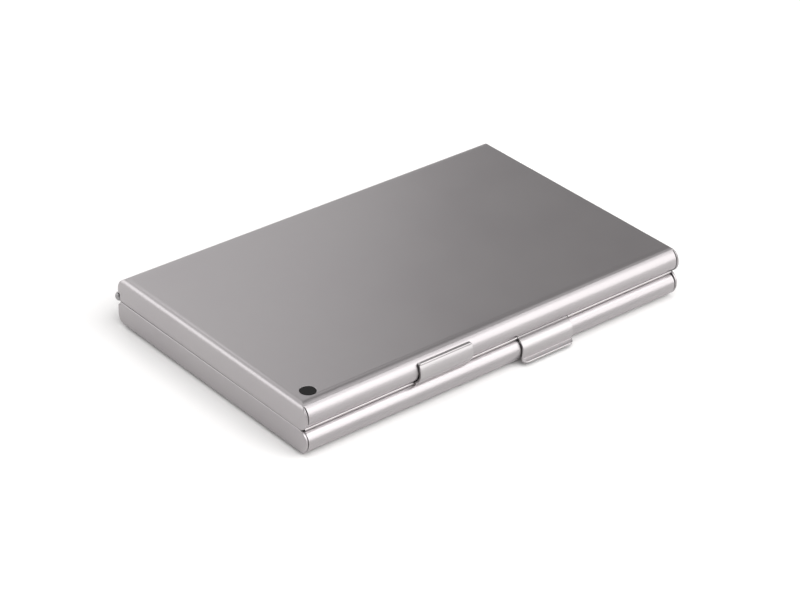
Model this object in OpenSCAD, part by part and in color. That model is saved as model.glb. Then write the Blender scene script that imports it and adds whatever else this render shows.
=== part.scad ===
// Two-sided metal business card case.
// Two shallow sheet-metal lids meet at a mid-plane, with a divider plate between
// them. All three turn on one pin along the rear edge. Two sprung clasps grow from
// the divider's front edge, one over each lid's rolled front.
// Frame: X along the hinge, -Y towards the clasps, Z up, case lying flat on z = 0.

/* [Case] */
// Width along the hinge
case_w = 95; // [92:0.5:105]
// Depth of the lids, rear wall to rolled front
case_d = 60; // [58:0.5:70]
// Height of the closed case
case_h = 11.2; // [11:0.2:16]
// Sheet thickness of the lids
sheet_t = 0.5; // [0.4:0.05:0.6]

/* [Bends] */
// Outer radius of the bend into each end wall
end_bend_r = 1.4; // [1.1:0.1:2]
// Outer radius of the bend into the rear wall
rear_bend_r = 3.0; // [2:0.1:3.1]
// Width of the open seam between an end wall and a rolled or bent edge
seam_w = 0.16; // [0.1:0.02:0.3]
// Length of the flat lip that closes the front roll
roll_lip = 1.0; // [0.5:0.1:2]

/* [Divider] */
// Thickness of the divider plate
divider_t = 0.6; // [0.5:0.05:0.7]
// Gap between the divider and the lids' edges on each side
divider_gap = 0.09; // [0.06:0.01:0.15]
// How far the divider's front edge lies behind the rolls
divider_inset = 1.2; // [1:0.05:1.4]
// How much larger a roll's radius is on its outer side, and smaller next to the divider
roll_bias = 0.45; // [0.2:0.05:0.5]

/* [Clasps] */
// Width of each clasp
clasp_w = 13.0; // [10:0.1:16]
// Sheet thickness of a clasp
clasp_t = 0.45; // [0.35:0.05:0.5]
// Gap between a clasp and the roll inside it
clasp_gap = 0.18; // [0.14:0.01:0.3]
// How far the lower clasp wraps past the roll's widest point, in degrees
clasp_wrap = 28; // [24:1:34]
// How far the upper clasp wraps past the roll's widest point, in degrees
upper_wrap = 38; // [32:1:45]
// Length of the lower clasp's finger lip
lip_len = 1.1; // [0.6:0.05:1.2]
// Length of the upper clasp's turned-out end
upper_lip = 0.3; // [0.2:0.05:0.5]
// Slope of the finger lip away from the mid-plane, in degrees
lip_slope = 22; // [0:1:30]
// Corner radius of the finger lip, seen from above
lip_corner_r = 1.1; // [0.5:0.1:1.3]
// Centre of the upper clasp along the hinge direction
upper_clasp_x = -14.3; // [-25:0.1:-10]
// Centre of the lower clasp along the hinge direction
lower_clasp_x = 11.8; // [10:0.1:25]

/* [Hinge] */
// Outer radius of the hinge barrel
barrel_r = 0.95; // [0.9:0.05:1.1]
// Radius of the hinge pin
pin_r = 0.5; // [0.4:0.05:0.55]
// Radial clearance between pin and knuckles
pin_clear = 0.05; // [0.03:0.01:0.08]
// Number of knuckles, shared in turn by the three leaves
knuckles = 15; // [9:6:27]
// Gap between neighbouring knuckles
knuckle_gap = 0.12; // [0.08:0.02:0.3]
// Thickness of the hinge leaves
leaf_t = 0.4; // [0.3:0.05:0.4]
// How far the barrel ends lie inside the end walls
barrel_inset = 0.8; // [0.8:0.1:3]

/* [Corner dot] */
// Radius of the enamel dot
dot_r = 1.6; // [1:0.1:1.8]
// Depth of the recess that holds the dot
dot_depth = 0.2; // [0.1:0.05:0.25]

/* [Hidden] */
$fn = 96;
e = 0.01;

h = case_h / 2;                         // height of one lid above the mid-plane
edge = divider_t / 2 + divider_gap;     // sheet edges stop this far from the mid-plane
wall_edge = 0.04;                       // end walls come this close to the mid-plane
roll_r = (h - edge) / 2;                // half the height of the front roll
roll_o = roll_r + roll_bias;            // its radius on the outer side
roll_i = roll_r - roll_bias;            // its radius next to the divider
axis_off = barrel_r + 0.1;              // hinge axis behind the rear wall
bore_r = pin_r + pin_clear;
clasp_o = roll_o + clasp_gap + clasp_t / 2;   // mid-sheet radius of a clasp, outer side
clasp_i = roll_i + clasp_gap + clasp_t / 2;   // and next to the divider
root_r = 0.3;                           // rounded root of a clasp

// The lids' own depth runs from yf to yr, placed so that the whole case,
// clasp lips and hinge barrel included, is centred on y = 0.
roll_z = h - roll_o;                    // foremost line of a roll above the mid-plane
tip_y = clasp_o * cos(clasp_wrap) + lip_len * cos(lip_slope);   // lip ahead of the roll axis
front_reach = tip_y + clasp_t / 2 - roll_o;   // beyond the lids' front
rear_reach = axis_off + barrel_r;             // beyond the lids' rear
y_mid = (front_reach - rear_reach) / 2;
yf = y_mid - case_d / 2;
yr = y_mid + case_d / 2;
roll_y = yf + roll_o;                   // axis of a roll's outer side
in_y = yf + roll_i;                     // axis of its side next to the divider
hem_y = yf + roll_r;
axis_y = yr + axis_off;
root_y = in_y - sqrt(clasp_i * clasp_i - roll_z * roll_z);
div_front = yf + divider_inset;
nose_y = div_front + divider_t / 2;     // centre of the divider's rounded front edge
root_angle = asin(roll_z / clasp_i);

barrel_len = case_w - 2 * (barrel_inset);
pitch = barrel_len / knuckles;

steel = [0.74, 0.73, 0.74];
bright = [0.82, 0.81, 0.81];
dark_steel = [0.55, 0.55, 0.56];

// Draws a YZ outline as a slab from x0 to x1
module along_x(x0, x1) {
    translate([x0, 0, 0]) rotate([90, 0, 90]) linear_extrude(height = x1 - x0) children();
}

// Draws an XZ outline as a slab through the whole depth
module along_y() {
    translate([0, yr + 5, 0]) rotate([90, 0, 0]) linear_extrude(height = case_d + 10) children();
}

// Front nose of a lid in side view, foremost at height z: radius ro above, ri below
module nose_outline(ro, ri, yo, yi, z) {
    difference() {
        translate([yo, z]) circle(r = ro);
        translate([yo - ro - 1, z - 2 * ro]) square([2 * ro + 2, 2 * ro]);
    }
    translate([yi, z]) circle(r = ri);
    translate([yi, z - ri]) square([yo - yi + e, ri]);
}

// Outer side outline of the folded sheet, inset by d
module sheet_outline(d) {
    q = rear_bend_r - d;
    difference() {
        union() {
            nose_outline(roll_o - d, roll_i - d, roll_y, in_y, roll_z);
            translate([roll_y, edge + d]) square([yr - rear_bend_r - roll_y, h - edge - 2 * d]);
            translate([yr - rear_bend_r, h - rear_bend_r]) circle(r = q);
            translate([yr - rear_bend_r - e, edge + d]) square([q + e, h - rear_bend_r - edge - d]);
        }
        translate([roll_y, edge + d - 4]) square([case_d, 4]);
    }
}

// Room inside the folded sheet, open at the mid-plane
module hollow_outline() {
    sheet_outline(sheet_t);
    translate([hem_y + roll_lip, -1]) square([yr - sheet_t - hem_y - roll_lip, 3]);
}

// Side outline of an end wall: rounded front, rounded rear corner
module end_outline() {
    ro = h / 2 + roll_bias;
    ri = h / 2 - roll_bias;
    difference() {
        union() {
            nose_outline(ro, ri, yf + ro, yf + ri, ri);
            translate([yf + ro, 0]) square([yr - rear_bend_r - yf - ro, h]);
            translate([yr - rear_bend_r, h - rear_bend_r]) circle(r = rear_bend_r);
            translate([yr - rear_bend_r - e, 0]) square([rear_bend_r + e, h - rear_bend_r]);
        }
        translate([yf - 1, -2]) square([case_d + 2, 2 + wall_edge]);
    }
}

// Cross outline of a lid, rounded along both ends, inset by d
module cross_outline(d) {
    r = end_bend_r - d;
    x = case_w / 2 - end_bend_r;
    translate([-x, -2]) square([2 * x, 2 + h - d]);
    translate([-x - r, -2]) square([2 * (x + r), 2 + h - end_bend_r]);
    for (s = [-1, 1]) translate([s * x, h - end_bend_r]) circle(r = r);
}

// One lid above the mid-plane, flat outer plate on top
module lid_half(relief) {
    x0 = case_w / 2 - sheet_t;
    difference() {
        intersection() {
            union() {
                along_x(-case_w / 2 + 0.25, case_w / 2 - 0.25) sheet_outline(0);
                for (s = [-1, 1])
                    along_x(s > 0 ? x0 : -case_w / 2, s > 0 ? case_w / 2 : -x0) end_outline();
            }
            along_y() cross_outline(0);
        }
        intersection() {
            along_x(-x0, x0) hollow_outline();
            along_y() cross_outline(sheet_t);
        }
        // open seams between the end walls and the rolled front and rear wall
        for (s = [-1, 1]) translate([s > 0 ? x0 - seam_w : -x0, 0, 0]) {
            translate([0, yf - 1, -1]) cube([seam_w, hem_y - 1.2 - yf + 1, h + 2]);
            translate([0, yf - 1, -1]) cube([seam_w, hem_y - yf + 1, 1 + h - roll_r]);
            translate([0, yf - 1, -1]) cube([seam_w, hem_y - yf + roll_lip + 1.05, 1 + roll_r]);
            translate([0, yr - 0.95, -1]) cube([seam_w, 2, h + 2]);
        }
        // relief holes where the rear seams end
        for (s = [-1, 1]) translate([s * (x0 - seam_w / 2), yr - 0.95, -1])
            cylinder(r = 0.2, h = h + 2, $fn = 32);
        // rear corners cut back beside the hinge barrel
        for (s = [-1, 1]) translate([s * (case_w / 2 - 0.15), yr, 0]) along_x(-1.15, 1.15)
            union() {
                translate([-0.65, -1]) square([2, relief + 0.75]);
                translate([-0.4, relief - 0.25]) circle(r = 0.25);
                translate([-0.4, relief - 0.3]) square([2, 0.3]);
            }
    }
}

module dot_place() {
    translate([-case_w / 2 + 4.0, yf + 4.7, case_h - dot_depth]) children();
}

module upper_lid() {
    color(steel) difference() {
        translate([0, 0, h]) lid_half(1.9);
        dot_place() cylinder(r = dot_r, h = 1);
    }
}

module lower_lid() {
    color(steel) translate([0, 0, h]) mirror([0, 0, 1]) lid_half(0.9);
}

module corner_dot() {
    color([0.08, 0.08, 0.08]) dot_place() cylinder(r = dot_r, h = dot_depth);
}

// Knuckle number i of the barrel
module knuckle(i) {
    x0 = -barrel_len / 2 + i * pitch + knuckle_gap / 2;
    translate([x0, axis_y, h]) rotate([0, 90, 0]) cylinder(r = barrel_r, h = pitch - knuckle_gap);
}

module barrel_bore() {
    translate([-case_w, axis_y, h]) rotate([0, 90, 0]) cylinder(r = bore_r, h = 2 * case_w);
}

// A leaf fixed to a rear wall, above the mid-plane, with every third knuckle
module lid_leaf(first) {
    top = h - rear_bend_r;
    low = 0.8;
    difference() {
        union() {
            translate([-barrel_len / 2 + knuckle_gap / 2, yr, h + low])
                cube([barrel_len - knuckle_gap, leaf_t, top - low]);
            for (i = [first : 3 : knuckles - 1]) {
                translate([-barrel_len / 2 + i * pitch + knuckle_gap / 2, yr, h])
                    cube([pitch - knuckle_gap, leaf_t, low + 0.1]);
                knuckle(i);
            }
        }
        barrel_bore();
    }
}

module upper_hinge_leaf() { color(bright) lid_leaf(2); }

module lower_hinge_leaf() {
    color(bright) translate([0, 0, h]) mirror([0, 0, 1]) translate([0, 0, -h]) lid_leaf(0);
}

module divider_plate() {
    x0 = case_w / 2 - sheet_t - 0.18;
    color(bright) difference() {
        union() {
            translate([-x0, nose_y, h - divider_t / 2])
                cube([2 * x0, yr - sheet_t - 0.25 - nose_y, divider_t]);
            translate([-x0, nose_y, h]) rotate([0, 90, 0]) cylinder(r = divider_t / 2, h = 2 * x0);
            for (i = [1 : 3 : knuckles - 1]) {
                translate([-barrel_len / 2 + i * pitch + knuckle_gap / 2, yr - 1.5, h - divider_t / 2])
                    cube([pitch - knuckle_gap, 2.0, divider_t]);
                knuckle(i);
            }
        }
        barrel_bore();
        // seats for the clasp roots
        for (x = [upper_clasp_x, lower_clasp_x])
            translate([x - clasp_w / 2 - 0.1, div_front - 1, h - 1])
                cube([clasp_w + 0.2, root_y + root_r + 0.02 - div_front + 1, 2]);
    }
}

module hinge_pin() {
    color(dark_steel) {
        translate([-barrel_len / 2 - 0.05, axis_y, h]) rotate([0, 90, 0])
            cylinder(r = pin_r, h = barrel_len + 0.1);
        // peened heads
        for (s = [-1, 1]) translate([s * (barrel_len / 2 + 0.05), axis_y, h]) rotate([0, s * 90, 0]) {
            cylinder(r = 0.78, h = 0.16);
            translate([0, 0, 0.16]) cylinder(r1 = 0.78, r2 = 0.5, h = 0.2);
        }
    }
}

// Side outline of a clasp above the mid-plane: flat root on the mid-plane out to
// nose, then an arc around the roll, with a finger lip that rises by slope degrees
module clasp_outline(wrap, nose, lip, slope) {
    w = 20;
    translate([in_y, roll_z]) intersection() {
        difference() {
            circle(r = clasp_i + clasp_t / 2);
            circle(r = clasp_i - clasp_t / 2);
        }
        polygon([[0, 0], [-w * cos(root_angle), -w * sin(root_angle)], [-2 * w, -w], [-2 * w, 0]]);
    }
    translate([roll_y, roll_z]) intersection() {
        difference() {
            circle(r = clasp_o + clasp_t / 2);
            circle(r = clasp_o - clasp_t / 2);
        }
        polygon([[0, 0], [-2 * w, 0], [-2 * w, w * sin(wrap)], [-w * cos(wrap), w * sin(wrap)]]);
    }
    translate([root_y, 0]) circle(r = root_r);
    translate([nose, 0]) circle(r = root_r);
    translate([nose, -root_r]) square([root_y - nose, 2 * root_r]);
    translate([roll_y - clasp_o * cos(wrap), roll_z + clasp_o * sin(wrap)]) {
        circle(r = clasp_t / 2);
        rotate([0, 0, 180 - slope]) {
            translate([0, -clasp_t / 2]) square([lip, clasp_t]);
            translate([lip, 0]) circle(r = clasp_t / 2);
        }
    }
}

module upper_clasp() {
    r = 0.6;
    z1 = roll_z + clasp_o * sin(upper_wrap) + clasp_t / 2;   // top of the turned-out end
    color(bright) translate([upper_clasp_x, 0, h]) intersection() {
        along_x(-clasp_w / 2, clasp_w / 2)
            clasp_outline(upper_wrap, hem_y - 1.6, upper_lip, -4);
        // rounded corners at the sprung end
        along_y() union() {
            translate([-clasp_w / 2, -1]) square([clasp_w, z1 - r + 1]);
            translate([-clasp_w / 2 + r, -1]) square([clasp_w - 2 * r, z1 + 1.1]);
            for (s = [-1, 1]) translate([s * (clasp_w / 2 - r), z1 - r]) circle(r = r);
        }
    }
}

module lower_clasp() {
    r = lip_corner_r;
    tip = roll_y - tip_y - clasp_t / 2;
    color(bright) translate([lower_clasp_x, 0, h]) mirror([0, 0, 1]) intersection() {
        along_x(-clasp_w / 2, clasp_w / 2) clasp_outline(clasp_wrap, nose_y, lip_len, lip_slope);
        // rounded corners of the lip
        translate([0, 0, -1]) linear_extrude(height = case_h) union() {
            translate([-clasp_w / 2, tip + r]) square([clasp_w, 8]);
            translate([-clasp_w / 2 + r, tip]) square([clasp_w - 2 * r, 8]);
            for (s = [-1, 1]) translate([s * (clasp_w / 2 - r), tip + r]) circle(r = r);
        }
    }
}

lower_lid();
upper_lid();
divider_plate();
lower_hinge_leaf();
upper_hinge_leaf();
hinge_pin();
upper_clasp();
lower_clasp();
corner_dot();
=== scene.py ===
"""Looks of the two-sided metal card case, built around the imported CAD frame."""
import bpy, bmesh, math
from mathutils import Matrix, Quaternion, Vector
from mathutils.bvhtree import BVHTree


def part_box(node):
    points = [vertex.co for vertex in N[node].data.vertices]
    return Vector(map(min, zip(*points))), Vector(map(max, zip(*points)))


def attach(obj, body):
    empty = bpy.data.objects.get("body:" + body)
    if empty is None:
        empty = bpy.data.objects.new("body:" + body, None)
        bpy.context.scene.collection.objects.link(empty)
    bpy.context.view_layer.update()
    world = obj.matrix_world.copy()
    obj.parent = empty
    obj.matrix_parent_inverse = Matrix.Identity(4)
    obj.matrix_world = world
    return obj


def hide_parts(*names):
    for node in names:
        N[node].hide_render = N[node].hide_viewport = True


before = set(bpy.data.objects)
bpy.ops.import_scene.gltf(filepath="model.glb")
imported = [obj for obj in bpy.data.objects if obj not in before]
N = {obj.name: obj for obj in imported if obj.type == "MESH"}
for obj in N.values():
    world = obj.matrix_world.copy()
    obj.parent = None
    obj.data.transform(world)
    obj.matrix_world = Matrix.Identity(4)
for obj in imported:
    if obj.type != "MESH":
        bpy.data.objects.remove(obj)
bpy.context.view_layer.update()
MM = 0.001
sc = bpy.context.scene

# lengths of the case in mm, as in its CAD source
Y_MID = -0.37755
CASE_W, CASE_D, CASE_H = 95.0, 60.0, 11.2
YF, YR = Y_MID - CASE_D / 2, Y_MID + CASE_D / 2
AXIS_Y = YR + 1.05
KNUCKLES, BARREL = 15, 93.4
PITCH = BARREL / KNUCKLES

# ---------------------------------------------------------------- camera
def make_camera():
    az, el, roll = math.radians(-40.4901), math.radians(31.0206), math.radians(1.5032)
    dist, tx, ty, f = 542.489, -0.0146, 3.2384, 2726.33
    target = Vector((0.0, Y_MID + 0.51685, 6.0))
    zc = Vector((math.sin(az) * math.cos(el), -math.cos(az) * math.cos(el), math.sin(el)))
    xc = Vector((0, 0, 1)).cross(zc).normalized()
    yc = zc.cross(xc)
    x2 = math.cos(roll) * xc + math.sin(roll) * yc
    y2 = -math.sin(roll) * xc + math.cos(roll) * yc
    c = target - tx * x2 - ty * y2 + dist * zc
    cam = bpy.data.cameras.new("camera")
    ob = bpy.data.objects.new("camera", cam)
    sc.collection.objects.link(ob)
    m = Matrix((x2, y2, zc)).transposed().to_4x4()
    m.translation = c * MM
    ob.matrix_world = m
    cam.sensor_fit = "HORIZONTAL"
    cam.sensor_width = 36.0
    cam.lens = f * 36.0 / 800.0
    cam.clip_start, cam.clip_end = 0.01, 20
    sc.camera = ob
    return ob

make_camera()

# ---------------------------------------------------------------- light and floor
sc.view_settings.view_transform = "Standard"
sc.view_settings.look = "None"
sc.view_settings.exposure = 0.0

def area(name, loc, aim, size, radiance, color=(1, 1, 1), turn=0.0):
    """One-sided rectangular softbox that shows this radiance"""
    L = bpy.data.lights.new(name, "AREA")
    L.shape = "RECTANGLE"
    L.size, L.size_y = size
    L.energy = radiance * math.pi * size[0] * size[1]
    L.color = color
    ob = bpy.data.objects.new(name, L)
    sc.collection.objects.link(ob)
    ob.location = loc
    d = (Vector(aim) - Vector(loc)).normalized()
    q = d.to_track_quat("-Z", "Y") @ Quaternion((0, 0, 1), math.radians(turn))
    ob.rotation_euler = q.to_euler()
    ob.visible_camera = False
    return ob

def lights():
    w = bpy.data.worlds.new("studio")
    sc.world = w
    w.use_nodes = True
    bg = w.node_tree.nodes["Background"]
    bg.inputs["Color"].default_value = (1.0, 0.985, 0.985, 1)
    bg.inputs["Strength"].default_value = 0.40
    # overhead softbox: lights the floor, seen by none of the flat faces
    area("soft_top", (-0.06, -0.58, 1.12), (0, -0.05, 0), (1.5, 1.5), 2.05)
    # low softbox at the front right, seen in both front rolls
    area("soft_front_right", (0.50, -0.68, 0.38), (0, 0, 0.0), (1.0, 0.74), 1.86, (1, 0.99, 0.985))
    # broad weak light around it, which softens the edges of the rolls' highlights
    area("soft_front_wide", (0.42, -0.86, 0.62), (0, 0, 0.0), (1.7, 1.3), 0.40)
    # low strip at the back left, seen in the bend along the left edge
    area("soft_back_left", (-0.40, 0.36, 0.165), (0, 0, 0.03), (0.40, 0.30), 1.95)
    # fill card at the back, seen in the left half of the top plate
    u = Vector((0.77, -0.64, 0.0)).normalized()
    c = Vector((0.22, 0.264, 0.215)) - 0.195 * u
    area("fill_back", c, (0, 0, 0.011), (0.44, 0.34), 0.57, turn=-22)
    # high fill card at the back left, seen in the upper part of the left bend
    area("fill_high", (-0.10, 0.46, 0.50), (0, 0, 0.011), (0.80, 0.34), 0.66)

def floor():
    me = bpy.data.meshes.new("floor")
    bm = bmesh.new()
    bmesh.ops.create_grid(bm, x_segments=4, y_segments=4, size=4.0)
    bm.to_mesh(me); bm.free()
    ob = bpy.data.objects.new("floor", me)
    sc.collection.objects.link(ob)
    ob.location = (0, 0, -0.00002)
    m = bpy.data.materials.new("floor_white")
    m.use_nodes = True
    p = m.node_tree.nodes["Principled BSDF"]
    p.inputs["Base Color"].default_value = (0.87, 0.865, 0.86, 1)
    p.inputs["Roughness"].default_value = 0.9
    p.inputs["Specular IOR Level"].default_value = 0.1
    me.materials.append(m)
    return ob

lights()
floor()

# ---------------------------------------------------------------- materials
class Tree:
    """Short way to write a procedural material on object coordinates, in mm"""
    def __init__(self, name):
        self.mat = bpy.data.materials.new(name)
        self.mat.use_nodes = True
        self.t = self.mat.node_tree
        self.p = self.t.nodes["Principled BSDF"]
        tc = self.t.nodes.new("ShaderNodeTexCoord")
        mp = self.t.nodes.new("ShaderNodeMapping")
        mp.inputs["Scale"].default_value = (1000, 1000, 1000)
        self.t.links.new(tc.outputs["Object"], mp.inputs["Vector"])
        self.mm = mp.outputs["Vector"]

    def link(self, a, b):
        self.t.links.new(a, b)

    def math(self, op, a, b=None, c=None, clamp=False):
        n = self.t.nodes.new("ShaderNodeMath")
        n.operation = op
        n.use_clamp = clamp
        for i, v in enumerate((a, b, c)):
            if v is None:
                continue
            if hasattr(v, "is_output"):
                self.link(v, n.inputs[i])
            else:
                n.inputs[i].default_value = v
        return n.outputs[0]

    def stretch(self, scale, turn=0.0, shift=(0, 0, 0)):
        mp = self.t.nodes.new("ShaderNodeMapping")
        mp.inputs["Scale"].default_value = scale
        mp.inputs["Rotation"].default_value = (0, 0, math.radians(turn))
        mp.inputs["Location"].default_value = shift
        self.link(self.mm, mp.inputs["Vector"])
        return mp.outputs["Vector"]

    def noise(self, scale, detail=2.0, rough=0.5, vec=None, distort=0.0):
        n = self.t.nodes.new("ShaderNodeTexNoise")
        n.inputs["Scale"].default_value = scale
        n.inputs["Detail"].default_value = detail
        n.inputs["Roughness"].default_value = rough
        n.inputs["Distortion"].default_value = distort
        self.link(vec if vec is not None else self.mm, n.inputs["Vector"])
        return n.outputs["Fac"]

    def ramp(self, v, lo, hi, out_lo=0.0, out_hi=1.0):
        n = self.t.nodes.new("ShaderNodeMapRange")
        n.interpolation_type = "SMOOTHSTEP"
        n.inputs["From Min"].default_value = lo
        n.inputs["From Max"].default_value = hi
        n.inputs["To Min"].default_value = out_lo
        n.inputs["To Max"].default_value = out_hi
        self.link(v, n.inputs["Value"])
        return n.outputs["Result"]

    def mix(self, f, a, b):
        n = self.t.nodes.new("ShaderNodeMix")
        n.data_type = "RGBA"
        self.link(f, n.inputs[0])
        for v, i in ((a, 6), (b, 7)):
            if hasattr(v, "is_output"):
                self.link(v, n.inputs[i])
            else:
                n.inputs[i].default_value = (*v, 1)
        return n.outputs[2]

    def bump(self, height, dist_mm, strength=1.0, normal=None):
        n = self.t.nodes.new("ShaderNodeBump")
        n.inputs["Distance"].default_value = dist_mm * MM
        n.inputs["Strength"].default_value = strength
        self.link(height, n.inputs["Height"])
        if normal is not None:
            self.link(normal, n.inputs["Normal"])
        return n.outputs["Normal"]

def satin(name, color, rough, grain=0.0035, smudge=0.024, scratch=0.08, along=(0.05, 1.6, 1.6), marks=None, painted_tone=None):
    """Satin plated metal: blasted micro-grain, faint drawing lines, handling smudges and hairline scratches"""
    T = Tree(name)
    T.p.inputs["Metallic"].default_value = 1.0
    big = T.noise(0.055, 3.0, 0.55)
    mid = T.noise(0.35, 3.0, 0.6)
    fine = T.noise(7.5, 2.0, 0.6)
    drawn = T.noise(2.6, 2.0, 0.6, vec=T.stretch(along))
    # hairline scratches in two directions, broken up by a patch mask
    s1 = T.ramp(T.noise(1.0, 1.0, 0.5, vec=T.stretch((0.035, 5.2, 5.2), 24.0)), 0.735, 0.775)
    s2 = T.ramp(T.noise(1.0, 1.0, 0.5, vec=T.stretch((4.6, 0.045, 4.6), -17.0, (3, 1, 2))), 0.745, 0.785)
    patch = T.ramp(T.noise(0.11, 2.0, 0.5, vec=T.stretch((1, 1, 1), 0, (9, 4, 2))), 0.42, 0.62)
    hair = T.math("MULTIPLY", T.math("MAXIMUM", s1, s2), patch)
    # colour: slight tint drift, a little darker in the grain's pits
    dark = tuple(c * k for c, k in zip(color, (0.98, 0.976, 0.982)))
    lite = tuple(min(1.0, c * k) for c, k in zip(color, (1.015, 1.018, 1.015)))
    drift = T.math("ADD", T.math("MULTIPLY", big, 0.65), T.math("MULTIPLY", fine, 0.35))
    col = T.mix(T.ramp(drift, 0.3, 0.7), dark, lite)
    col = T.mix(T.math("MULTIPLY", hair, 0.35), col, tuple(min(1.0, c * 1.18) for c in color))
    # roughness
    r = T.math("ADD", T.ramp(big, 0.3, 0.7, rough - smudge / 2, rough + smudge / 2),
               T.ramp(mid, 0.3, 0.7, -smudge * 0.25, smudge * 0.25))
    r = T.math("ADD", r, T.math("MULTIPLY", hair, scratch))
    # relief
    h = T.math("ADD", fine, T.math("MULTIPLY", drawn, 0.8))
    n = T.bump(h, grain)
    n = T.bump(T.math("SUBTRACT", 1.0, hair), 0.002, 0.6, n)
    if marks is not None:
        m = marks(T)
        n = T.bump(T.math("SUBTRACT", 1.0, m), 0.06, 1.0, n)
        r = T.math("ADD", r, T.math("MULTIPLY", m, 0.08))
        col = T.mix(T.math("MULTIPLY", m, 0.4), col, tuple(c * 0.75 for c in color))
    # painted light and shade: the mask shifts the base colour brighter or darker by gain
    if painted_tone is not None:
        m, gain = painted_tone(T)
        col = T.mix(m, col, tuple(min(1.0, c * gain) for c in color))
    T.link(col, T.p.inputs["Base Color"])
    T.link(r, T.p.inputs["Roughness"])
    T.link(n, T.p.inputs["Normal"])
    return T.mat

def painted_crevice_light(T):
    """Painted light: brighter base colour on the front rolls next to the parting line, lifting the shade in the
    crevice between lids and divider
    """
    sep = T.t.nodes.new("ShaderNodeSeparateXYZ")
    T.link(T.mm, sep.inputs["Vector"])
    dz = T.math("SUBTRACT", sep.outputs["Z"], CASE_H / 2)
    m = T.math("MULTIPLY", T.ramp(dz, -1.1, -0.65, 0.0, 1.0), T.ramp(dz, 0.4, 0.75, 1.0, 0.0))
    m = T.math("MULTIPLY", m, T.ramp(sep.outputs["Y"], YF + 2.2, YF + 2.8, 1.0, 0.0))
    return T.math("MULTIPLY", m, T.ramp(T.math("ABSOLUTE", sep.outputs["X"]), 46.5, 46.8, 1.0, 0.0)), 1.8

def painted_seam_shade(T):
    """Painted shade on the divider: a dark band in the seam behind its rounded front edge"""
    sep = T.t.nodes.new("ShaderNodeSeparateXYZ")
    T.link(T.mm, sep.inputs["Vector"])
    rag = T.math("MULTIPLY", T.noise(0.9, 2.0, 0.5), 0.12)
    y = T.math("ADD", sep.outputs["Y"], rag)
    return T.math("MULTIPLY", T.ramp(y, YF + 1.5, YF + 1.68, 0.0, 1.0), T.ramp(y, YF + 2.6, YF + 3.4, 1.0, 0.0)), 0.22

def weld_marks(T):
    """Row of shallow spot-weld dents along a hinge leaf, one per knuckle"""
    sep = T.t.nodes.new("ShaderNodeSeparateXYZ")
    T.link(T.mm, sep.inputs["Vector"])
    fx = T.math("FRACT", T.math("ADD", T.math("DIVIDE", sep.outputs["X"], PITCH), 100.0))
    dx = T.math("MULTIPLY", T.math("SUBTRACT", fx, 0.5), PITCH)
    dz = T.math("SUBTRACT", T.math("ABSOLUTE", T.math("SUBTRACT", sep.outputs["Z"], CASE_H / 2)), 1.85)
    d = T.math("SQRT", T.math("ADD", T.math("POWER", dx, 2.0), T.math("POWER", dz, 2.0)))
    back = T.ramp(sep.outputs["Y"], YR + 0.3, YR + 0.36)
    return T.math("MULTIPLY", T.ramp(d, 0.32, 0.52, 1.0, 0.0), back)

def enamel(name):
    """Black enamel fill: glossy, with faint orange peel and dust specks"""
    T = Tree(name)
    T.p.inputs["Metallic"].default_value = 0.0
    T.p.inputs["Specular IOR Level"].default_value = 0.14
    peel = T.noise(2.2, 2.0, 0.5)
    speck = T.ramp(T.noise(9.0, 1.0, 0.5), 0.70, 0.78)
    col = T.mix(T.ramp(peel, 0.3, 0.7), (0.002, 0.0018, 0.0018), (0.004, 0.0036, 0.0036))
    col = T.mix(T.math("MULTIPLY", speck, 0.4), col, (0.03, 0.028, 0.026))
    r = T.math("ADD", T.ramp(peel, 0.3, 0.7, 0.30, 0.42), T.math("MULTIPLY", speck, 0.2))
    T.link(col, T.p.inputs["Base Color"])
    T.link(r, T.p.inputs["Roughness"])
    T.link(T.bump(peel, 0.006), T.p.inputs["Normal"])
    return T.mat

lid_metal = satin("lid_metal", (0.392, 0.374, 0.380), 0.33, painted_tone=painted_crevice_light)
divider_metal = satin("divider_metal", (0.45, 0.433, 0.436), 0.36, painted_tone=painted_seam_shade)
hinge_metal = satin("hinge_metal", (0.42, 0.408, 0.41), 0.34, scratch=0.08, marks=weld_marks)
pin_metal = satin("pin_metal", (0.30, 0.295, 0.30), 0.36, along=(0.02, 2.4, 2.4))
clasp_metal = satin("clasp_metal", (0.42, 0.405, 0.408), 0.32, along=(1.6, 0.05, 0.05))
enamel_black = enamel("enamel_black")

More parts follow.
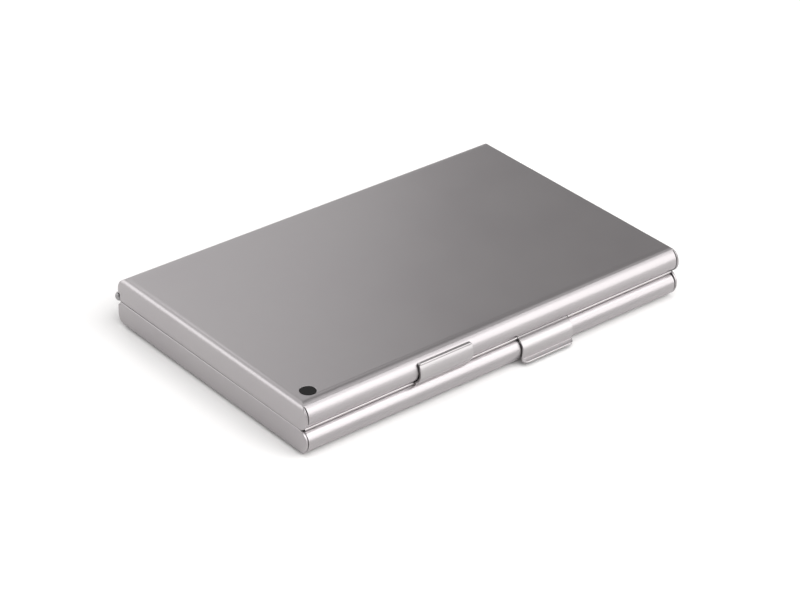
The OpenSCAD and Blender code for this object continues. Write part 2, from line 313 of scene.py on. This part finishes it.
# ---------------------------------------------------------------- pieces
def skin(node, body, mat, width, segments=2, sharp=32.0, wide=None):
    """The node's own shape with every sharp sheet edge rounded off by width mm, and those that wide picks by more"""
    bm = bmesh.new()
    bm.from_mesh(N[node].data)
    bmesh.ops.remove_doubles(bm, verts=bm.verts, dist=2e-6)
    bmesh.ops.dissolve_limit(bm, angle_limit=math.radians(0.4), verts=bm.verts, edges=bm.edges,
                             use_dissolve_boundaries=False)
    def corners():
        return [e for e in bm.edges if len(e.link_faces) == 2 and e.calc_face_angle(0) > math.radians(sharp)]
    if wide is not None:
        edges = [e for e in corners() if wide(*(v.co / MM for v in e.verts))]
        bmesh.ops.bevel(bm, geom=edges, offset=0.22 * MM, offset_type="OFFSET", segments=4,
                        profile=0.5, affect="EDGES", clamp_overlap=False)
    bmesh.ops.bevel(bm, geom=corners(), offset=width * MM, offset_type="OFFSET", segments=segments,
                    profile=0.5, affect="EDGES", clamp_overlap=False, miter_outer="SHARP")
    bmesh.ops.recalc_face_normals(bm, faces=bm.faces)
    # corners where tangent bends meet: hold the rounding on the sheet's surface
    tree = BVHTree.FromPolygons([v.co for v in N[node].data.vertices],
                                [p.vertices for p in N[node].data.polygons])
    for v in bm.verts:
        near, _, _, d = tree.find_nearest(v.co)
        if d > 0.12 * MM:
            v.co = near
    a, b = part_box(node)
    for v in bm.verts:
        v.co = [min(max(c, l), h) for c, l, h in zip(v.co, a, b)]
    for f in bm.faces:
        f.smooth = True
    me = bpy.data.meshes.new(node + "_skin")
    bm.to_mesh(me)
    bm.free()
    me.set_sharp_from_angle(angle=math.radians(50))
    me.materials.append(mat)
    ob = bpy.data.objects.new(node + "_skin", me)
    sc.collection.objects.link(ob)
    wn = ob.modifiers.new("weighted", "WEIGHTED_NORMAL")
    wn.keep_sharp = True
    wn.weight = 60
    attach(ob, body)
    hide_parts(node)
    return ob

def wall_rim(a, b):
    """Outer edge of an end wall along the parting line, between its rounded ends"""
    return all(abs(abs(p.x) - CASE_W / 2) < 0.01 and abs(p.z - CASE_H / 2) < 0.06 for p in (a, b)) and abs(a.y - b.y) > 10

skin("lower_lid", "lower_case", lid_metal, 0.10, wide=wall_rim)
skin("upper_lid", "upper_case", lid_metal, 0.10, wide=wall_rim)
skin("divider_plate", "divider", divider_metal, 0.06)
skin("lower_hinge_leaf", "lower_case", hinge_metal, 0.07)
skin("upper_hinge_leaf", "upper_case", hinge_metal, 0.07)
skin("hinge_pin", "lower_case", pin_metal, 0.05)
skin("upper_clasp", "upper_clasp_tab", clasp_metal, 0.09)
skin("lower_clasp", "lower_clasp_tab", clasp_metal, 0.09)
skin("corner_dot", "upper_case", enamel_black, 0.05)
